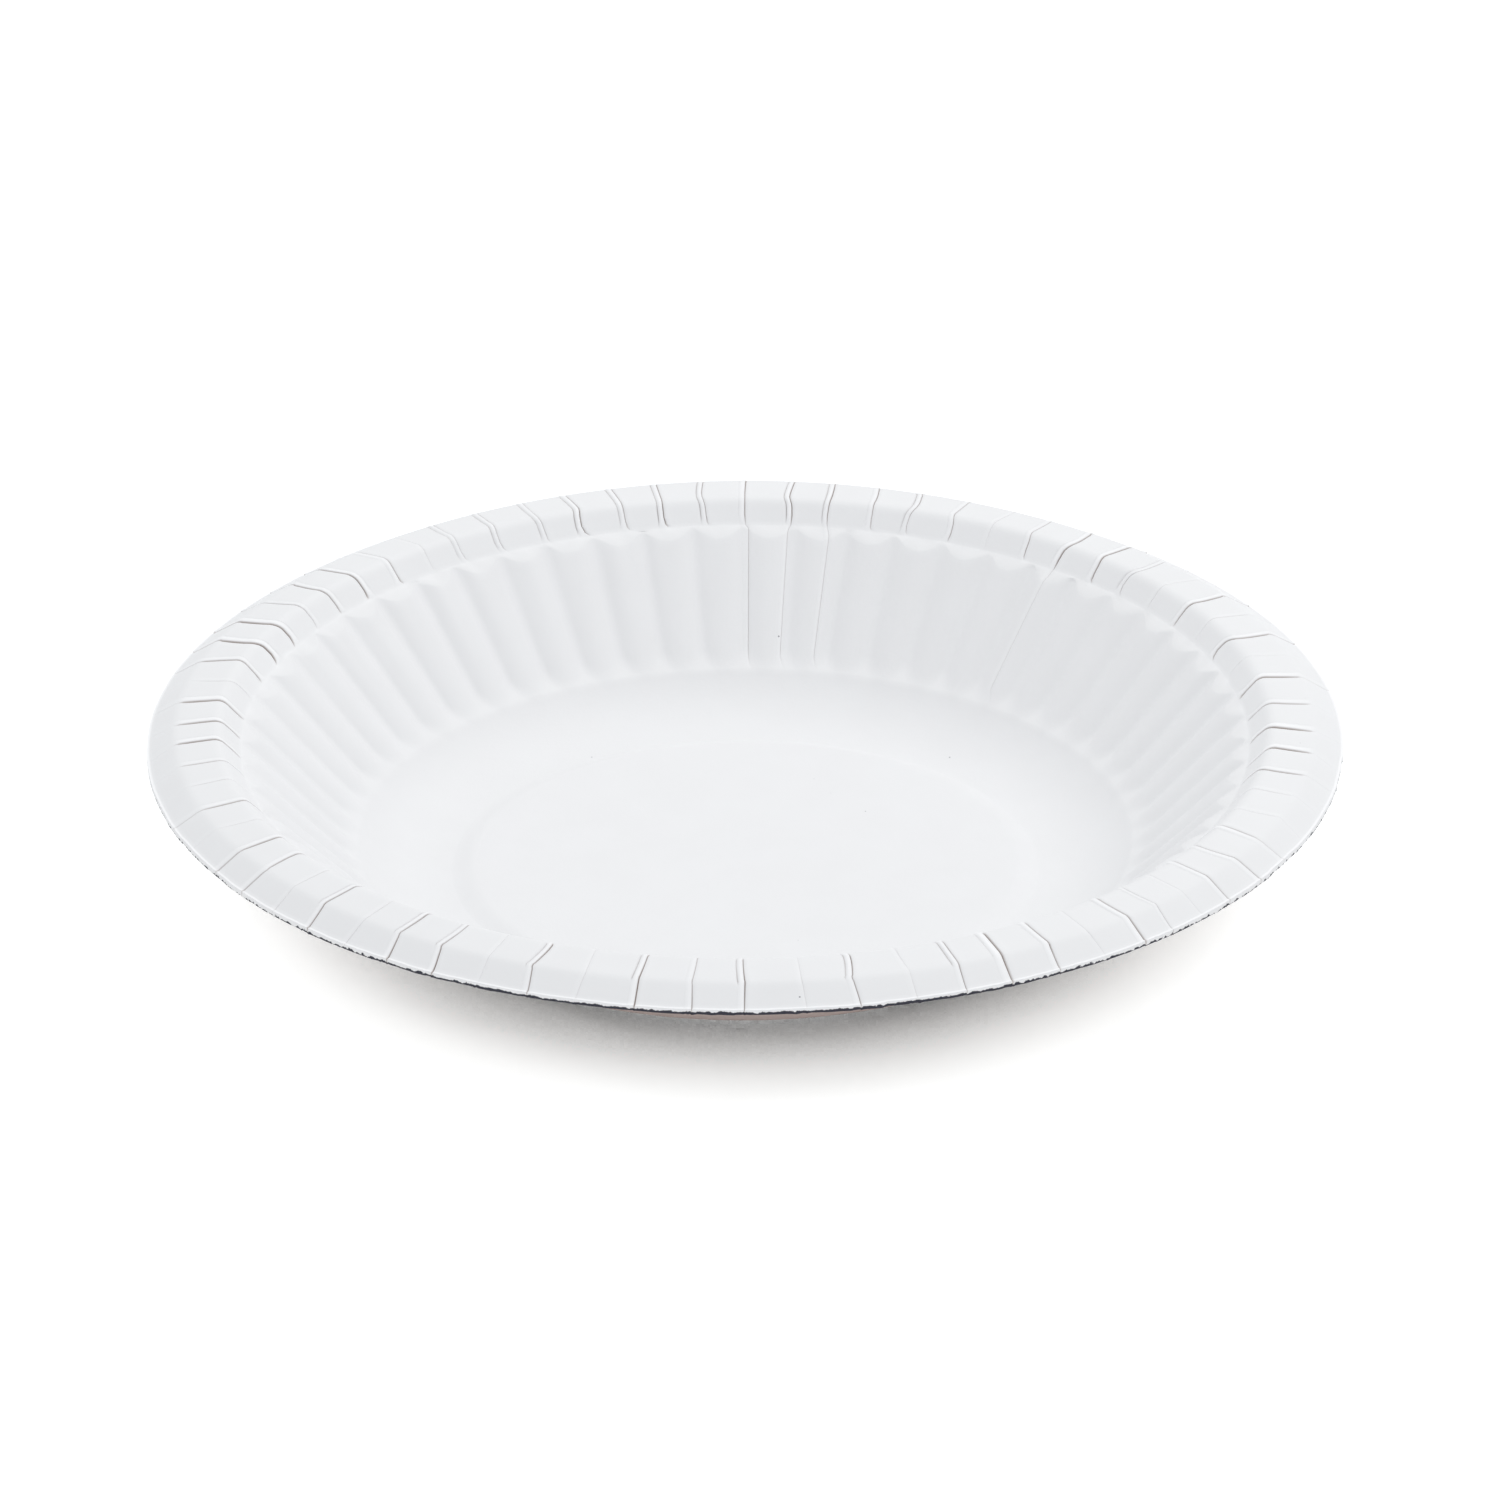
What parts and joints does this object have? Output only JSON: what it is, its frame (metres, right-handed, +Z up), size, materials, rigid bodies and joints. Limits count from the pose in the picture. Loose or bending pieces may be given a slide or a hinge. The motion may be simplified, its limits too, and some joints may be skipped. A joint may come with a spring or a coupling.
{
  "type": "paper bowl",
  "caption": "Shallow round disposable bowl pressed from one disc of white paperboard, with a raised floor panel, a fluted sloping wall and a broad pleated rim",
  "frame": {"origin": "on the bowl's axis, at the height of the table that the standing ring rests on", "axes": "+Z up out of the open mouth, the bowl's axis of symmetry; X and Y level, +X through the bottom of a wall groove and through a pleat of the rim"},
  "size_m": [0.18, 0.18, 0.025],
  "materials": {
    "paperboard": "matte, uncoated-looking white board with a faint cool cast"
  },
  "bodies": {
    "root": {"bowl": "paperboard"}
  },
  "joints": []
}
